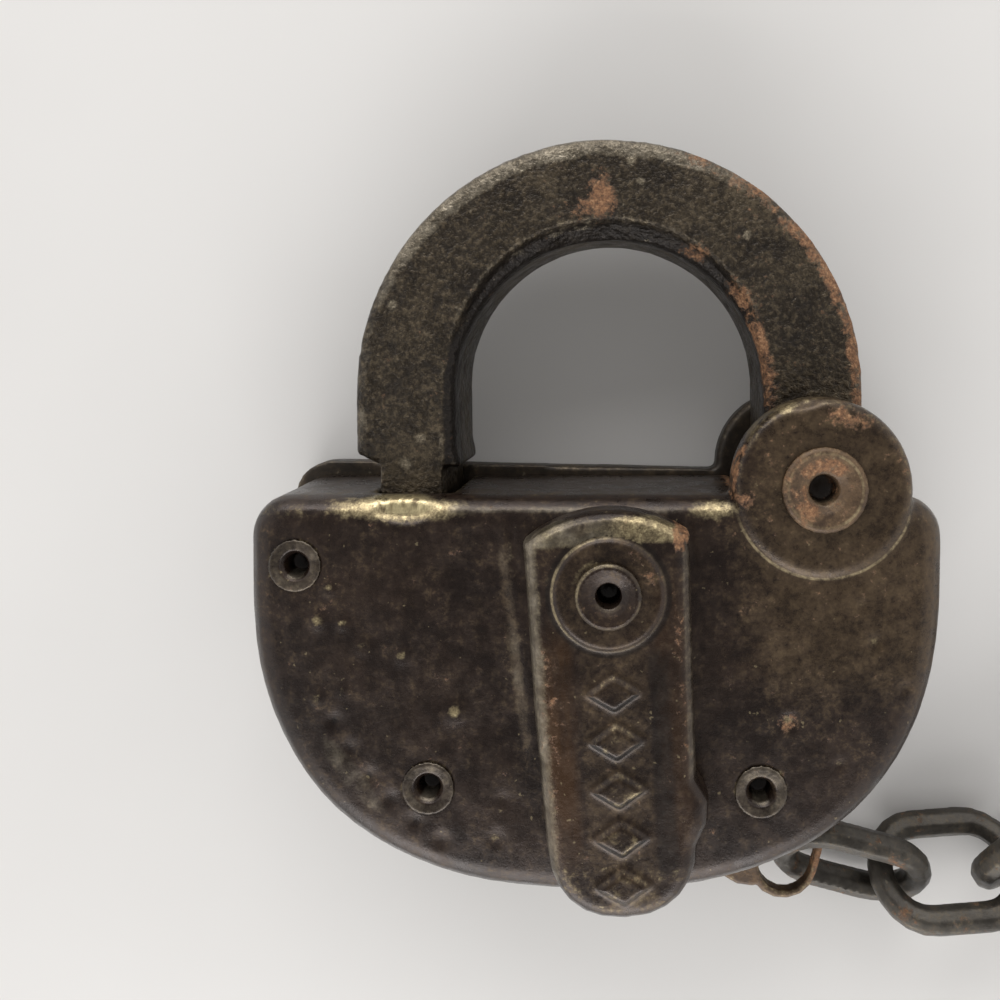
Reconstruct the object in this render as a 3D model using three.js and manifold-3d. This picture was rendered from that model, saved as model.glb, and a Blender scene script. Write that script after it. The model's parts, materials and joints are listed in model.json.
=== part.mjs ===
// Old railway switch padlock lying on its back, with its key drop and a short chain.
// Lengths are in millimetres and angles in degrees.
// X = 0 is the line of symmetry of the case, Z = 0 its back and +Z its face.

import * as THREE from 'three';
import { mergeVertices } from 'three/addons/utils/BufferGeometryUtils.js';
import Module from 'manifold-3d';

const wasm = await Module();
wasm.setup();

// Clearances
const RUN_GAP = 0.35;
const HOLE_GAP = 0.3;

// Pressed case
const CASE_WIDTH = 69;
const CASE_TOP = 20;
const CASE_BOTTOM = -19.4;
const CASE_DEPTH = 18.5;
const WIDEST_BELOW_TOP = 7;
const CORNER_RADIUS = 4;
const BOTTOM_SQUARENESS = 2.45;
const SIDE_FLARE = 0.8;
const FRONT_ROUND = 2.2;
const BACK_ROUND = 1.2;
const WALL = 2.2;
const BACK_RIM = 3.4;
const BACK_LIP = 0.4;
const BACK_SKEW = -1.2;

// Shackle
const BAR_WIDTH = 10.2;
const BAR_BEVEL = 1.1;
const BOW_ABOVE_HINGE = 9.2;
const HINGE_FROM_SIDE = 12.1;
const HINGE_ABOVE_TOP = 1;
const TOE_FROM_SIDE = 15.45;
const HEEL_RADIUS = 7;
const TOE_WIDTH = 6.3;
const TOE_INSET = 0.75;
const TOE_LENGTH = 15.5;
const OPEN_TURN = -80;
const WEAR_DEPTH = 1.2;
const WEAR_RADIUS = 14;

// Ears and hinge rivet
const EAR_RADIUS = 8.9;
const EAR_THICK = 3.35;
const EAR_RISE = 0.4;
const EAR_BEVEL = 0.9;
const HINGE_PIN_RADIUS = 2.6;
const HINGE_HEAD_RADIUS = 4.2;
const HINGE_HEAD_RISE = 0.6;
const HINGE_EYE_RADIUS = 1.5;

// Case rivets
const RIVET_HEAD_RADIUS = 2.7;
const RIVET_RISE = 0.25;
const RIVET_EYE_RADIUS = 1.15;
const RIVET_EYE_DEPTH = 2.5;
const RIVET_SHANK_RADIUS = 1.7;
const RIVET_SHOULDER_RADIUS = 2.4;
const TAIL_RADIUS = 2.75;
const TAIL_THICK = 0.7;
const UPPER_RIVET_FROM_SIDE = 5.1;
const UPPER_RIVET_BELOW_TOP = 6.6;
const LOWER_RIVET_FROM_SIDE = 18.2;
const LOWER_RIVET_ABOVE_BOTTOM = 10.8;

// Key drop
const DROP_X = 1.5;
const DROP_BELOW_TOP = 8.1;
const DROP_TURN = 3;
const DROP_TOP_HALF = 7.9;
const DROP_FOOT_HALF = 7.1;
const DROP_DOME_RADIUS = 13;
const DROP_HEAD = 7.6;
const DROP_LENGTH = 30.8;
const DROP_FOOT_ROUND = 6.6;
const DROP_THICK = 3.65;
const DROP_EDGE = 1.5;
const DROP_WALL = 1.4;
const DROP_ROOF = 1.5;
const DROP_RING_RADIUS = 5.4;
const DROP_RING_RISE = 0.45;
const DROP_PIN_RADIUS = 1.6;
const DROP_HEAD_RADIUS = 3.1;
const DROP_EYE_RADIUS = 1.2;
const LOZENGE_COUNT = 5;
const LOZENGE_WIDTH = 5.6;
const LOZENGE_HEIGHT = 3.8;
const LOZENGE_PITCH = 4.5;
const LOZENGE_BELOW_PIN = 9.2;
const LOZENGE_RISE = 0.5;

// Lock works
const KEY_X = 1.6;
const KEY_BELOW_TOP = 21;
const KEY_HOLE_RADIUS = 3.3;
const KEY_SLOT_WIDTH = 2.6;
const KEY_SLOT_LENGTH = 8.3;
const KEY_POST_RADIUS = 1.35;
const WARD_INNER = 4.4;
const WARD_OUTER = 5.2;
const WARD_HEIGHT = 2.5;
const BOLT_THICK = 6;
const BOLT_BOTTOM = 6;
const BOLT_EYE_RADIUS = 3.2;
const BOLT_PIN_RADIUS = 1.5;
const BOLT_ARM_WIDTH = 3;
const BOLT_FROM_TOE = 8.4;
const BOLT_BELOW_WALL = 0.4;
const NOSE_X = -3.5;
const NOSE_Y = -8;
const TAIL_PAST_KEY = 2.4;
const TAIL_ABOVE_KEY = 9.7;
const BOLT_LATCH_TURN = -20;
const SPRING_THICK = 0.7;
const SPRING_HEIGHT = 5;
const SPRING_POST_RADIUS = 1.5;
const POST_FROM_HEEL = 1.4;
const POST_BELOW_HINGE = 7;

// Chain lug and chain
const EYE_PAST_RIVET = 5;
const EYE_BELOW_RIVET = 13.55;
const LUG_THICK = 1.4;
const LUG_BOTTOM = 4.15;
const LUG_RING_RADIUS = 4.4;
const LUG_NECK_RADIUS = 4.5;
const LUG_HOLE_RADIUS = 3;
const LUG_HOLE_HALF = 2.2;
const LUG_RIM = 0.95;
const LINK_WIRE = 3;
const LINK_BEND = 4.7;
const LINK_STRAIGHT = 6;
const LINK_BUTT = 0.25;
const LINK_SLACK = 0.9;
const FIRST_ROLL = 35;
const NEXT_ROLL = 45;
const LINK_HEADINGS = [-14.5, 5, 33, 61, 86];

// Places that follow from the sizes
const ceiling = CASE_DEPTH - WALL;
const seam = BACK_RIM + HOLE_GAP;
const barLow = BACK_RIM + RUN_GAP;
const earLow = CASE_DEPTH - EAR_THICK;
const barHigh = earLow - RUN_GAP;
const earTop = CASE_DEPTH + EAR_RISE;
const half = CASE_WIDTH / 2;
const widestY = CASE_TOP - WIDEST_BELOW_TOP;
const hinge = new THREE.Vector2(half - HINGE_FROM_SIDE, CASE_TOP + HINGE_ABOVE_TOP);
const toeMid = hinge.x + half - TOE_FROM_SIDE;
const bowRadius = (toeMid + TOE_INSET) / 2;
const bow = new THREE.Vector2(hinge.x - bowRadius, hinge.y + BOW_ABOVE_HINGE);
const bowOuter = bowRadius + BAR_WIDTH / 2;
const bowInner = bowRadius - BAR_WIDTH / 2;
const toeInner = toeMid - TOE_WIDTH / 2;
const toeOuter = toeMid + TOE_WIDTH / 2;
const dropPin = new THREE.Vector2(DROP_X, CASE_TOP - DROP_BELOW_TOP);
const dropLow = CASE_DEPTH + RUN_GAP;
const dropTop = dropLow + DROP_THICK;
const key = new THREE.Vector2(KEY_X, CASE_TOP - KEY_BELOW_TOP);
const boltPin = new THREE.Vector2(
  hinge.x - toeInner + BOLT_FROM_TOE, CASE_TOP - WALL - BOLT_BELOW_WALL - BOLT_EYE_RADIUS);
const upperRivet = new THREE.Vector2(UPPER_RIVET_FROM_SIDE - half, CASE_TOP - UPPER_RIVET_BELOW_TOP);
const lowerRivet = new THREE.Vector2(half - LOWER_RIVET_FROM_SIDE, CASE_BOTTOM + LOWER_RIVET_ABOVE_BOTTOM);
const lugTop = LUG_BOTTOM + LUG_THICK;

const rad = THREE.MathUtils.degToRad;

// Solids

function solid(geometry) {
  const bare = geometry.index ? geometry.toNonIndexed() : geometry.clone();
  bare.deleteAttribute('normal');
  bare.deleteAttribute('uv');
  const merged = mergeVertices(bare, 1e-4);
  const index = merged.index.array;
  const faces = [];
  for (let i = 0; i < index.length; i += 3) {
    const [a, b, c] = [index[i], index[i + 1], index[i + 2]];
    if (a !== b && b !== c && c !== a) faces.push(a, b, c);
  }
  return new wasm.Manifold(new wasm.Mesh({
    numProp: 3,
    vertProperties: Float32Array.from(merged.attributes.position.array),
    triVerts: Uint32Array.from(faces),
  }));
}

function geometryOf(body) {
  const mesh = body.getMesh();
  const geometry = new THREE.BufferGeometry();
  geometry.setAttribute('position', new THREE.BufferAttribute(Float32Array.from(mesh.vertProperties), 3));
  geometry.setIndex(new THREE.BufferAttribute(Uint32Array.from(mesh.triVerts), 1));
  return geometry;
}

function cut(body, ...tools) {
  return tools.reduce((left, tool) => left.subtract(tool), body);
}

function join(body, ...others) {
  return others.reduce((left, other) => left.add(other), body);
}

// Prism of a flat outline between two heights, with rounded edges at both ends.
function prism(outline, low, high, round = 0, roundSteps = 3) {
  const loop = outline.filter((p, i) => p.distanceTo(outline[(i + 1) % outline.length]) > 1e-3);
  const geometry = new THREE.ExtrudeGeometry(new THREE.Shape(loop), {
    depth: high - low - 2 * round,
    bevelEnabled: round > 0,
    bevelThickness: round,
    bevelSize: round,
    bevelOffset: -round,
    bevelSegments: roundSteps,
  });
  geometry.translate(0, 0, low + round);
  return geometry;
}

// Turned solid about a vertical axis, from points of radius and height.
function turned(points, at, segments = 28) {
  const geometry = new THREE.LatheGeometry(points.map(([r, z]) => new THREE.Vector2(r, z)), segments);
  geometry.rotateX(Math.PI / 2);
  geometry.translate(at.x, at.y, 0);
  return solid(geometry);
}

function disc(at, radius, low, high, segments = 24) {
  return turned([[0, low], [radius, low], [radius, high], [0, high]], at, segments);
}

function box(x0, x1, y0, y1, z0, z1) {
  const geometry = new THREE.BoxGeometry(x1 - x0, y1 - y0, z1 - z0);
  geometry.translate((x0 + x1) / 2, (y0 + y1) / 2, (z0 + z1) / 2);
  return geometry;
}

function ball(x, y, z, radius) {
  const geometry = new THREE.SphereGeometry(radius, 16, 10);
  geometry.translate(x, y, z);
  return solid(geometry);
}

// Turns a geometry about a vertical axis through a point.
function turnAbout(geometry, at, degrees) {
  geometry.translate(-at.x, -at.y, 0);
  geometry.rotateZ(rad(degrees));
  geometry.translate(at.x, at.y, 0);
  return geometry;
}

// Bar whose two ends are round and may differ in radius.
function taperedBar(p, rp, q, rq, low, high, round = 0, roundSteps = 1) {
  const along = Math.atan2(q.y - p.y, q.x - p.x);
  const span = Math.hypot(q.x - p.x, q.y - p.y);
  const lean = Math.acos((rp - rq) / span);
  const points = [];
  const arc = (c, r, from, to, steps) => {
    for (let i = 0; i <= steps; i += 1) {
      const a = from + ((to - from) * i) / steps;
      points.push(new THREE.Vector2(c.x + r * Math.cos(a), c.y + r * Math.sin(a)));
    }
  };
  arc(p, rp, along + lean, along + 2 * Math.PI - lean, 8);
  arc(q, rq, along - lean, along + lean, 8);
  return prism(points, low, high, round, roundSteps);
}

// Ring sector about the hinge between two radii and two heights of Y.
function hingeSector(inner, outer, yTop, yBottom, low, high) {
  const points = [];
  const side = (radius, from, to) => {
    for (let i = 0; i <= 8; i += 1) {
      const dy = hinge.y - (from + ((to - from) * i) / 8);
      points.push(new THREE.Vector2(hinge.x - Math.sqrt(radius * radius - dy * dy), hinge.y - dy));
    }
  };
  side(outer, yTop, yBottom);
  side(inner, yBottom, yTop);
  return solid(prism(points, low, high));
}

// Outline of the case, moved in by an inset.
function caseOutline(inset) {
  const right = [new THREE.Vector2(0, CASE_TOP)];
  for (let i = 0; i <= 6; i += 1) {
    const a = rad(90 - 15 * i);
    right.push(new THREE.Vector2(
      half - CORNER_RADIUS + CORNER_RADIUS * Math.cos(a),
      CASE_TOP - CORNER_RADIUS + CORNER_RADIUS * Math.sin(a),
    ));
  }
  const power = 2 / BOTTOM_SQUARENESS;
  const steps = 20;
  for (let i = 0; i <= steps; i += 1) {
    const a = ((i / steps) * Math.PI) / 2;
    right.push(new THREE.Vector2(
      half * Math.max(0, Math.cos(a)) ** power,
      widestY - (widestY - CASE_BOTTOM) * Math.sin(a) ** power,
    ));
  }
  right[right.length - 1].x = 0;
  const left = right.slice(1, -1).reverse().map((p) => new THREE.Vector2(-p.x, p.y));
  const loop = [...right, ...left].reverse();
  return loop.map((p, i) => {
    const before = loop[(i + loop.length - 1) % loop.length];
    const after = loop[(i + 1) % loop.length];
    const a = p.clone().sub(before).normalize();
    const b = after.clone().sub(p).normalize();
    const normal = new THREE.Vector2(-a.y - b.y, a.x + b.x).normalize();
    const stretch = 1 / Math.max(0.5, normal.dot(new THREE.Vector2(-a.y, a.x)));
    return p.clone().addScaledVector(normal, inset * stretch);
  });
}

// The sides of the pressed cup lean out towards the seam.
function leanOut(geometry) {
  const place = geometry.attributes.position;
  for (let i = 0; i < place.count; i += 1) {
    const share = (CASE_DEPTH - place.getZ(i)) / (CASE_DEPTH - seam);
    place.setX(i, place.getX(i) * (1 + (SIDE_FLARE * share) / half));
  }
  return geometry;
}

// Bores and seats for a through rivet in both halves of the case.
function rivetBore(at, shank) {
  return disc(at, shank + HOLE_GAP, -1, CASE_DEPTH + 5, 20);
}

function tailSeat(at, radius, depth) {
  return disc(at, radius + HOLE_GAP, -1, depth, 24);
}

const caseRivets = {
  rivet_upper_left: upperRivet,
  rivet_lower_left: new THREE.Vector2(-lowerRivet.x, lowerRivet.y + 0.2),
  rivet_lower_right: lowerRivet,
};

// Chain: where each link starts, its heading and its roll about its own length
const linkReach = LINK_STRAIGHT + 2 * LINK_BEND;
const linkStep = LINK_WIRE + LINK_SLACK;
const chainHeight = LUG_BOTTOM + LUG_THICK / 2;
const chainStart = new THREE.Vector2(lowerRivet.x + EYE_PAST_RIVET, lowerRivet.y - EYE_BELOW_RIVET);

function direction(degrees) {
  return new THREE.Vector2(Math.cos(rad(degrees)), Math.sin(rad(degrees)));
}

function chainPlaces() {
  const places = [];
  let start = chainStart.clone();
  LINK_HEADINGS.forEach((heading, i) => {
    const along = direction(heading);
    const roll = i === 0 ? FIRST_ROLL : NEXT_ROLL * (i % 2 ? -1 : 1);
    places.push({ start, heading, roll });
    const joint = start.clone().addScaledVector(along, linkReach - linkStep / 2);
    const next = LINK_HEADINGS[i + 1] ?? heading;
    start = joint.addScaledVector(direction(next), -linkStep / 2);
  });
  return places;
}

// Middle line of a link, open by a hair where its ends butt together.
class LinkLine extends THREE.Curve {
  getPoint(t) {
    const bendLength = Math.PI * LINK_BEND;
    const whole = 2 * LINK_STRAIGHT + 2 * bendLength;
    let s = LINK_STRAIGHT / 2 + LINK_BUTT / 2 + t * (whole - LINK_BUTT);
    if (s > whole) s -= whole;
    if (s < LINK_STRAIGHT) {
      return new THREE.Vector3(LINK_BEND + s, -LINK_BEND, 0);
    }
    s -= LINK_STRAIGHT;
    if (s < bendLength) {
      const a = -Math.PI / 2 + s / LINK_BEND;
      return new THREE.Vector3(
        LINK_BEND + LINK_STRAIGHT + LINK_BEND * Math.cos(a), LINK_BEND * Math.sin(a), 0);
    }
    s -= bendLength;
    if (s < LINK_STRAIGHT) {
      return new THREE.Vector3(LINK_BEND + LINK_STRAIGHT - s, LINK_BEND, 0);
    }
    s -= LINK_STRAIGHT;
    const a = Math.PI / 2 + s / LINK_BEND;
    return new THREE.Vector3(LINK_BEND + LINK_BEND * Math.cos(a), LINK_BEND * Math.sin(a), 0);
  }
}

function chainLink({ start, heading, roll }) {
  const ring = [];
  for (let i = 0; i < 8; i += 1) {
    const a = rad(45 * i + 22.5);
    ring.push(new THREE.Vector2((LINK_WIRE / 2) * Math.cos(a), (LINK_WIRE / 2) * Math.sin(a)));
  }
  const geometry = new THREE.ExtrudeGeometry(new THREE.Shape(ring), {
    steps: 30,
    extrudePath: new LinkLine(),
    bevelEnabled: false,
  });
  geometry.rotateX(rad(roll));
  geometry.rotateZ(rad(heading));
  geometry.translate(start.x, start.y, chainHeight);
  return solid(geometry);
}

// Case

function earDisc(low, high, topBevel, bottomBevel) {
  return turned([
    [0, low],
    [EAR_RADIUS - bottomBevel, low],
    [EAR_RADIUS, low + bottomBevel],
    [EAR_RADIUS, high - topBevel],
    [EAR_RADIUS - topBevel * 0.35, high - topBevel * 0.35],
    [EAR_RADIUS - topBevel, high],
    [0, high],
  ], hinge, 40);
}

// Room for the heel and the leg, from the closed to the open shackle.
function clevis() {
  const low = BACK_RIM - 0.4;
  const side = BAR_WIDTH / 2 + RUN_GAP;
  const reach = bowOuter;
  const heel = disc(hinge, HEEL_RADIUS + RUN_GAP + 0.15, low, earLow, 36);
  const closed = solid(box(hinge.x - side, hinge.x + side, hinge.y, hinge.y + reach, low, earLow));
  const leg = box(hinge.x - side, hinge.x + side + 12, hinge.y, hinge.y + reach, low, earLow);
  const open = solid(turnAbout(leg, hinge, OPEN_TURN));
  const wedge = box(hinge.x - side, hinge.x + side, hinge.y, hinge.y + reach, low, earLow);
  const between = solid(turnAbout(wedge, hinge, OPEN_TURN / 2));
  return join(heel, closed, open, between);
}

function keyhole(low, high) {
  const slot = KEY_SLOT_WIDTH / 2;
  const opening = solid(box(key.x - slot, key.x + slot, key.y - KEY_SLOT_LENGTH, key.y, low, high));
  return join(disc(key, KEY_HOLE_RADIUS, low, high, 28), opening);
}

function lugSlot() {
  const wide = LUG_NECK_RADIUS + HOLE_GAP;
  const { upper, lower, rim } = lugEye();
  const low = BACK_RIM - 0.4;
  const high = lugTop + HOLE_GAP;
  return join(
    solid(taperedBar(lowerRivet, wide, lugNeck(), wide, low, high)),
    solid(taperedBar(upper, rim + HOLE_GAP, lower, rim + HOLE_GAP, low, high)),
  );
}

function toeSlot() {
  const outer = toeOuter + RUN_GAP;
  const inner = toeInner - 1.2;
  return hingeSector(inner, outer, CASE_TOP + 3, CASE_TOP - WALL - 3, BACK_RIM - 0.4, earLow);
}

function frontCase() {
  const shell = solid(leanOut(prism(caseOutline(0), -4, CASE_DEPTH, FRONT_ROUND, 3)));
  const hollow = solid(leanOut(prism(caseOutline(WALL), -4, ceiling, 1, 1)));
  const below = solid(box(-CASE_WIDTH, CASE_WIDTH, -CASE_WIDTH, CASE_WIDTH, -CASE_DEPTH, seam));
  const face = join(cut(shell, hollow, below), earDisc(earLow, earTop, EAR_BEVEL, 0.3));
  const bores = Object.values(caseRivets).map((at) => rivetBore(at, RIVET_SHANK_RADIUS));
  return cut(
    face,
    clevis(),
    toeSlot(),
    lugSlot(),
    keyhole(ceiling - 3, CASE_DEPTH + 1),
    rivetBore(hinge, HINGE_PIN_RADIUS),
    rivetBore(dropPin, DROP_PIN_RADIUS),
    ...bores,
    ...caseDamage(),
  );
}

// Bruise on the top edge, chip in the ear and the groove that the drop has rubbed.
function caseDamage() {
  const bruise = new THREE.SphereGeometry(1, 16, 10);
  bruise.scale(4.2, 2.4, 1.6);
  bruise.rotateZ(rad(-6));
  bruise.translate(-0.275 * CASE_WIDTH, CASE_TOP - 1.2 + 0.9, CASE_DEPTH + 0.5);
  const chip = new THREE.SphereGeometry(1, 14, 9);
  chip.scale(3.4, 1.5, 1.4);
  chip.rotateZ(rad(12));
  chip.translate(hinge.x - 2, hinge.y + EAR_RADIUS + 0.3, earTop + 0.3);
  const rubbed = [];
  for (let i = 0; i <= 5; i += 1) {
    const a = rad(207 + 6 * i);
    const reach = DROP_LENGTH - 0.4;
    rubbed.push(ball(
      dropPin.x + reach * Math.cos(a), dropPin.y + reach * Math.sin(a), CASE_DEPTH + 3.35, 3.6));
  }
  return [solid(bruise), solid(chip), ...rubbed];
}

function backCase() {
  const outline = caseOutline(-BACK_LIP);
  const tray = turnAbout(flared(prism(outline, 0, BACK_RIM + BACK_ROUND + 1, BACK_ROUND, 2)), hinge, BACK_SKEW);
  const room = turnAbout(flared(prism(caseOutline(WALL), WALL, BACK_RIM + 4)), hinge, BACK_SKEW);
  const above = solid(box(-CASE_WIDTH, CASE_WIDTH, -CASE_WIDTH, CASE_WIDTH, BACK_RIM, CASE_DEPTH));
  const ear = turned([
    [0, 0],
    [EAR_RADIUS - 0.8, 0],
    [EAR_RADIUS - 0.1, 0.7],
    [EAR_RADIUS - 0.1, BACK_RIM - 0.4],
    [EAR_RADIUS - 0.5, BACK_RIM],
    [0, BACK_RIM],
  ], hinge, 40);
  const bores = Object.values(caseRivets).map((at) => rivetBore(at, RIVET_SHANK_RADIUS));
  const seats = Object.values(caseRivets).map((at) => tailSeat(at, TAIL_RADIUS, TAIL_THICK + 0.4));
  return cut(
    join(cut(solid(tray), above, solid(room)), ear),
    ...bores,
    ...seats,
    rivetBore(hinge, HINGE_PIN_RADIUS),
    tailSeat(hinge, HINGE_HEAD_RADIUS - 0.3, TAIL_THICK + 0.5),
  );
}

// Widens a geometry by the full flare of the sides, as the case is at its seam.
function flared(geometry) {
  geometry.scale(1 + SIDE_FLARE / half, 1, 1);
  return geometry;
}

// Shackle

function shackle() {
  const foot = hinge.y + 1.5;
  const outerLeft = bow.x - bowOuter;
  const innerLeft = bow.x - bowInner;
  const shape = new THREE.Shape();
  shape.moveTo(outerLeft, foot + 1.3);
  shape.lineTo(hinge.x - toeOuter, foot);
  shape.lineTo(innerLeft + 0.6, foot - 0.1);
  shape.lineTo(innerLeft + 0.15, foot + 2);
  shape.lineTo(innerLeft, bow.y);
  shape.absarc(bow.x, bow.y, bowInner, Math.PI, 0, true);
  shape.lineTo(hinge.x - BAR_WIDTH / 2, hinge.y);
  shape.lineTo(hinge.x + BAR_WIDTH / 2, hinge.y);
  shape.lineTo(bow.x + bowOuter, bow.y);
  shape.absarc(bow.x, bow.y, bowOuter, 0, Math.PI, false);
  const bar = solid(prism(shape.getPoints(22), barLow, barHigh, BAR_BEVEL, 2));
  const heel = turned([
    [0, barLow],
    [HEEL_RADIUS - BAR_BEVEL, barLow],
    [HEEL_RADIUS, barLow + BAR_BEVEL],
    [HEEL_RADIUS, barHigh - BAR_BEVEL],
    [HEEL_RADIUS - BAR_BEVEL, barHigh],
    [0, barHigh],
  ], hinge, 32);
  const toe = hingeSector(
    toeInner, toeOuter, foot + 2, CASE_TOP - TOE_LENGTH, barLow, barHigh,
  );
  const worn = ball(
    bow.x - 0.8,
    bow.y + bowInner - (WEAR_RADIUS - WEAR_DEPTH) * Math.SQRT1_2,
    barHigh + (WEAR_RADIUS - WEAR_DEPTH) * Math.SQRT1_2,
    WEAR_RADIUS,
  );
  const bore = disc(hinge, HINGE_PIN_RADIUS + HOLE_GAP, 0, CASE_DEPTH, 20);
  return cut(join(bar, heel, toe), worn, bore, boltNotch());
}

// The bolt's nose as it swings into the toe, with room round it.
function boltNotch() {
  const grown = BOLT_ARM_WIDTH / 2 + RUN_GAP;
  const steps = 5;
  const cuts = [];
  for (let i = 0; i <= steps; i += 1) {
    const nose = turnedPoint(NOSE_X, NOSE_Y, (BOLT_LATCH_TURN * i) / steps);
    cuts.push(solid(taperedBar(
      boltPin, grown, nose, grown, BOLT_BOTTOM - RUN_GAP, BOLT_BOTTOM + BOLT_THICK + RUN_GAP,
    )));
  }
  return join(...cuts);
}

function boltTail() {
  return new THREE.Vector2(key.x + TAIL_PAST_KEY, key.y + TAIL_ABOVE_KEY);
}

function turnedPoint(x, y, degrees) {
  return new THREE.Vector2(x, y).rotateAround(new THREE.Vector2(), rad(degrees)).add(boltPin);
}

function shackleRivet() {
  const top = earTop + HINGE_HEAD_RISE;
  const tail = HINGE_HEAD_RADIUS - 0.3;
  return turned([
    [0, 0.1],
    [tail, 0.1],
    [tail, TAIL_THICK + 0.1],
    [HINGE_PIN_RADIUS, TAIL_THICK + 0.1],
    [HINGE_PIN_RADIUS, earTop],
    [HINGE_HEAD_RADIUS, earTop],
    [HINGE_HEAD_RADIUS, top - 0.3],
    [HINGE_HEAD_RADIUS - 0.4, top],
    [HINGE_EYE_RADIUS + 0.9, top - 0.25],
    [HINGE_EYE_RADIUS, top - 0.7],
    [HINGE_EYE_RADIUS - 0.2, top - 2.6],
    [0, top - 3],
  ], hinge, 24);
}

function caseRivet(at) {
  const top = CASE_DEPTH + RIVET_RISE;
  const eye = top - RIVET_EYE_DEPTH;
  return turned([
    [0, 0.1],
    [TAIL_RADIUS, 0.1],
    [TAIL_RADIUS, TAIL_THICK + 0.1],
    [RIVET_SHANK_RADIUS, TAIL_THICK + 0.1],
    [RIVET_SHANK_RADIUS, WALL + HOLE_GAP],
    [RIVET_SHOULDER_RADIUS, WALL + HOLE_GAP],
    [RIVET_SHOULDER_RADIUS, ceiling - HOLE_GAP - 1.2],
    [RIVET_SHANK_RADIUS + 0.2, ceiling - HOLE_GAP],
    [RIVET_SHANK_RADIUS, ceiling - HOLE_GAP],
    [RIVET_SHANK_RADIUS, CASE_DEPTH],
    [RIVET_HEAD_RADIUS, CASE_DEPTH],
    [RIVET_HEAD_RADIUS - 0.2, top],
    [RIVET_EYE_RADIUS + 0.4, top - 0.1],
    [RIVET_EYE_RADIUS, top - 0.6],
    [RIVET_EYE_RADIUS - 0.15, eye + 0.3],
    [0, eye],
  ], at, 18);
}

// Key drop

function dropOutline(inset) {
  const points = [];
  const domeY = DROP_HEAD - DROP_DOME_RADIUS;
  const lean = Math.asin(DROP_TOP_HALF / DROP_DOME_RADIUS);
  for (let i = 0; i <= 10; i += 1) {
    const a = Math.PI / 2 - lean + (2 * lean * i) / 10;
    points.push([DROP_DOME_RADIUS * Math.cos(a), domeY + DROP_DOME_RADIUS * Math.sin(a)]);
  }
  const shoulder = DROP_LENGTH - DROP_FOOT_ROUND;
  points.push([-(DROP_TOP_HALF + DROP_FOOT_HALF) / 2 - 0.1, -shoulder / 2]);
  for (let i = 0; i <= 12; i += 1) {
    const a = Math.PI + (Math.PI * i) / 12;
    points.push([
      DROP_FOOT_HALF * Math.sign(Math.cos(a)) * Math.abs(Math.cos(a)) ** 0.85,
      -shoulder + DROP_FOOT_ROUND * Math.sin(a),
    ]);
  }
  // Thumb lug on the right edge
  points.push([DROP_FOOT_HALF + 1.1, -shoulder + 2]);
  points.push([DROP_FOOT_HALF + 1.3, -shoulder + 4.2]);
  points.push([DROP_FOOT_HALF + 0.2, -shoulder + 6.2]);
  const shrink = inset / DROP_TOP_HALF;
  const midY = (DROP_HEAD - DROP_LENGTH) / 2;
  const tall = (DROP_HEAD + DROP_LENGTH) / 2;
  return points.map(([x, y]) => new THREE.Vector2(
    x * (1 - shrink), midY + (y - midY) * (1 - inset / tall)));
}

function toDrop(geometry) {
  geometry.rotateZ(rad(DROP_TURN));
  geometry.translate(dropPin.x, dropPin.y, 0);
  return geometry;
}

function lozenge(y) {
  const w = LOZENGE_WIDTH / 2;
  const h = LOZENGE_HEIGHT / 2;
  const outline = [[w, 0], [0, h], [-w, 0], [0, -h]].map(([a, b]) => new THREE.Vector2(a, y + b));
  const geometry = new THREE.ExtrudeGeometry(new THREE.Shape(outline), {
    depth: 1,
    bevelEnabled: true,
    bevelThickness: LOZENGE_RISE,
    bevelSize: LOZENGE_RISE,
    bevelOffset: -LOZENGE_RISE,
    bevelSegments: 1,
  });
  geometry.translate(0, 0, dropTop - 1);
  return solid(toDrop(geometry));
}

function keyDrop() {
  const body = solid(toDrop(prism(dropOutline(0), dropLow - DROP_EDGE, dropTop, DROP_EDGE, 3)));
  const below = solid(box(-CASE_WIDTH, CASE_WIDTH, -CASE_WIDTH, CASE_WIDTH, 0, dropLow));
  const hollow = solid(toDrop(prism(dropOutline(DROP_WALL), dropLow - 2, dropTop - DROP_ROOF, 0.6, 1)));
  const boss = disc(dropPin, DROP_PIN_RADIUS + HOLE_GAP + 1.4, dropLow, dropTop, 20);
  const ring = turned([
    [0, dropTop - 0.5],
    [DROP_RING_RADIUS, dropTop - 0.5],
    [DROP_RING_RADIUS, dropTop],
    [DROP_RING_RADIUS - 0.5, dropTop + DROP_RING_RISE],
    [0, dropTop + DROP_RING_RISE],
  ], dropPin, 32);
  const column = [];
  for (let i = 0; i < LOZENGE_COUNT; i += 1) column.push(lozenge(-LOZENGE_BELOW_PIN - LOZENGE_PITCH * i));
  const plate = join(cut(body, below, hollow), boss, ring, ...column);
  return cut(plate, disc(dropPin, DROP_PIN_RADIUS + HOLE_GAP, dropLow - 1, dropTop + 2, 20));
}

function dropRivet() {
  const seat = dropTop + DROP_RING_RISE + 0.15;
  const top = seat + 0.55;
  return turned([
    [0, ceiling - 2],
    [DROP_HEAD_RADIUS - 0.3, ceiling - 2],
    [DROP_HEAD_RADIUS - 0.3, ceiling - HOLE_GAP],
    [DROP_PIN_RADIUS, ceiling - HOLE_GAP],
    [DROP_PIN_RADIUS, seat],
    [DROP_HEAD_RADIUS, seat],
    [DROP_HEAD_RADIUS, top - 0.25],
    [DROP_HEAD_RADIUS - 0.4, top],
    [DROP_EYE_RADIUS + 0.7, top - 0.25],
    [DROP_EYE_RADIUS, top - 0.6],
    [DROP_EYE_RADIUS - 0.2, top - 3],
    [0, top - 3.3],
  ], dropPin, 24);
}

// Lock works

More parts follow.
